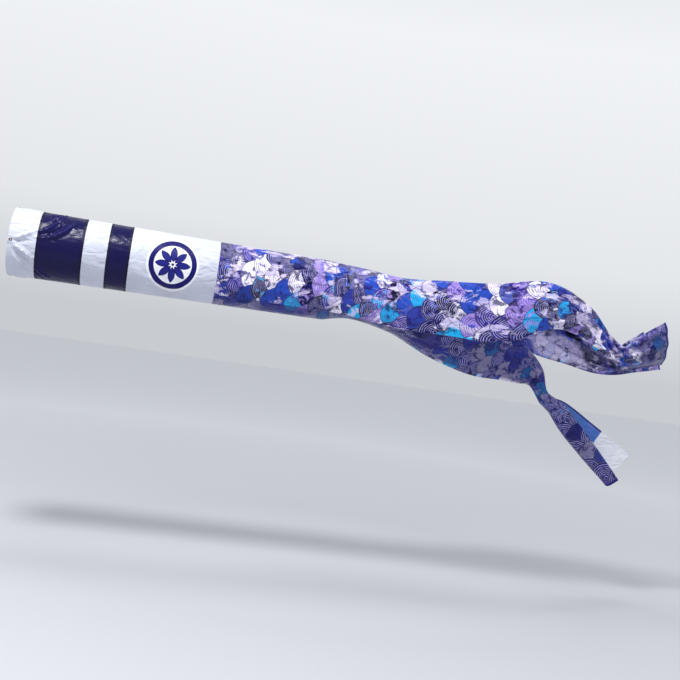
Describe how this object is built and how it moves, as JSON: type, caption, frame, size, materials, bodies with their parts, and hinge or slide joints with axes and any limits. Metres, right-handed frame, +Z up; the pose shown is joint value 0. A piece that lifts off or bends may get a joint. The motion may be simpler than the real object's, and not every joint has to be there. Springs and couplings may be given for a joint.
{
  "type": "wind streamer",
  "caption": "Long tubular cloth wind streamer on a wire hoop, with white and navy bands, a round petal crest, and a scale-printed sleeve slit into trailing tails.",
  "frame": {"origin": "centre of the mouth hoop, in the plane of the tube's front edge", "axes": "+X downwind along the tube's axis towards the tails, +Z up as it flies, +Y to the far side"},
  "size_m": [7.8009, 0.9772, 2.3311],
  "materials": {
    "hoop_steel": "drawn spring-steel wire, satin",
    "eyelet_brass": "pressed brass eyelet",
    "navy_webbing": "navy woven reinforcement",
    "white_satin": "glossy white polyester satin",
    "navy_satin": "glossy navy polyester satin",
    "crest_white": "smooth white bonded patch",
    "crest_navy": "navy ink on the patch",
    "printed_satin": "polyester satin printed with brushed scales",
    "blue_reverse": "unprinted blue reverse of the printed satin",
    "white_facing": "white facing cloth",
    "facing_hem": "turned and stitched hem"
  },
  "bodies": {
    "mouth": {"hoop_rod": "hoop_steel", "hoop_ferrule": "hoop_steel", "mouth_hem": "white_satin", "tie_tab_top": "navy_webbing", "tie_tab_near": "navy_webbing", "tie_tab_bottom": "navy_webbing", "tie_tab_far": "navy_webbing", "eyelet_top": "eyelet_brass", "eyelet_near": "eyelet_brass", "eyelet_bottom": "eyelet_brass", "eyelet_far": "eyelet_brass", "eyelet_washers": "eyelet_brass", "white_band_1": "white_satin"},
    "front_tube": {"navy_band_1": "navy_satin", "white_band_2": "white_satin", "navy_band_2": "navy_satin", "crest_panel": "white_satin", "seam_tape_1": "navy_satin", "seam_tape_2": "navy_satin", "seam_tape_3": "navy_satin", "seam_tape_4": "navy_satin", "seam_tape_5": "white_satin", "bottom_seam_front": "white_satin", "crest_patch_near": "crest_white", "crest_ring_near": "crest_navy", "crest_petals_near": "crest_navy", "crest_patch_far": "crest_white", "crest_ring_far": "crest_navy", "crest_petals_far": "crest_navy", "print_sleeve_front": "printed_satin"},
    "rear_tube": {"bottom_seam_rear": "white_satin", "print_sleeve": "printed_satin", "slit_patch_near": "navy_webbing", "slit_patch_top": "navy_webbing", "slit_patch_far": "navy_webbing"},
    "near_tail": {"near_tail_root": "printed_satin", "near_tail_root_hems": "blue_reverse"},
    "near_tail_end": {"near_tail_tip": "printed_satin", "near_tail_tip_hems": "blue_reverse", "near_tail_facing": "white_facing", "near_tail_end_hem": "facing_hem"},
    "far_tail": {"far_tail_root": "printed_satin", "far_tail_root_hems": "blue_reverse"},
    "far_tail_end": {"far_tail_tip": "printed_satin", "far_tail_tip_hems": "blue_reverse", "far_tail_facing": "white_facing", "far_tail_end_hem": "facing_hem"},
    "low_tail": {"low_tail_root": "printed_satin", "low_tail_root_hems": "blue_reverse"},
    "low_tail_end": {"low_tail_tip": "printed_satin", "low_tail_tip_hems": "blue_reverse", "low_tail_facing": "white_facing", "low_tail_end_hem": "facing_hem"}
  },
  "joints": [
    {"name": "tube_sway", "type": "hinge", "parent": "mouth", "child": "front_tube", "pos_m": [0.167, 0, 0], "axis": [0, 0, 1], "range_deg": [-12, 12], "stiffness_Nm_per_rad": 120, "deforming": ["white_band_1"]},
    {"name": "tube_lift", "type": "hinge", "parent": "front_tube", "child": "rear_tube", "pos_m": [2.308, 0, 0], "axis": [0, -1, 0], "range_deg": [-10, 8], "stiffness_Nm_per_rad": 120, "springref_deg": 14.67, "deforming": ["print_sleeve_front"]},
    {"name": "near_tail_swing", "type": "hinge", "parent": "rear_tube", "child": "near_tail", "pos_m": [3.4, -0.3218, 0.0862], "axis": [0, -0.258, -0.9661], "range_deg": [0, 20], "stiffness_Nm_per_rad": 20, "springref_deg": 4.73},
    {"name": "near_tail_curl", "type": "hinge", "parent": "near_tail", "child": "near_tail_end", "pos_m": [5.98, -0.18, 0.24], "axis": [0.1162, -0.2577, -0.9592], "range_deg": [0, 20], "stiffness_Nm_per_rad": 6, "springref_deg": 2.46},
    {"name": "far_tail_swing", "type": "hinge", "parent": "rear_tube", "child": "far_tail", "pos_m": [3.4, 0.2356, 0.2356], "axis": [0, -0.7082, 0.706], "range_deg": [0, 20], "stiffness_Nm_per_rad": 20, "springref_deg": 11.95},
    {"name": "far_tail_curl", "type": "hinge", "parent": "far_tail", "child": "far_tail_end", "pos_m": [6.03, 0.12, -0.1], "axis": [0.2627, 0.4217, 0.8678], "range_deg": [0, 20], "stiffness_Nm_per_rad": 6, "springref_deg": -2.86},
    {"name": "low_tail_swing", "type": "hinge", "parent": "rear_tube", "child": "low_tail", "pos_m": [3.4, 0.0862, -0.3218], "axis": [0, 0.9654, 0.2606], "range_deg": [-2, 15], "stiffness_Nm_per_rad": 20, "springref_deg": -19.53},
    {"name": "low_tail_curl", "type": "hinge", "parent": "low_tail", "child": "low_tail_end", "pos_m": [5.96, -0.02, -0.64], "axis": [-0.6137, 0.3666, -0.6992], "range_deg": [-6, 15], "stiffness_Nm_per_rad": 6, "springref_deg": -6.34}
  ]
}
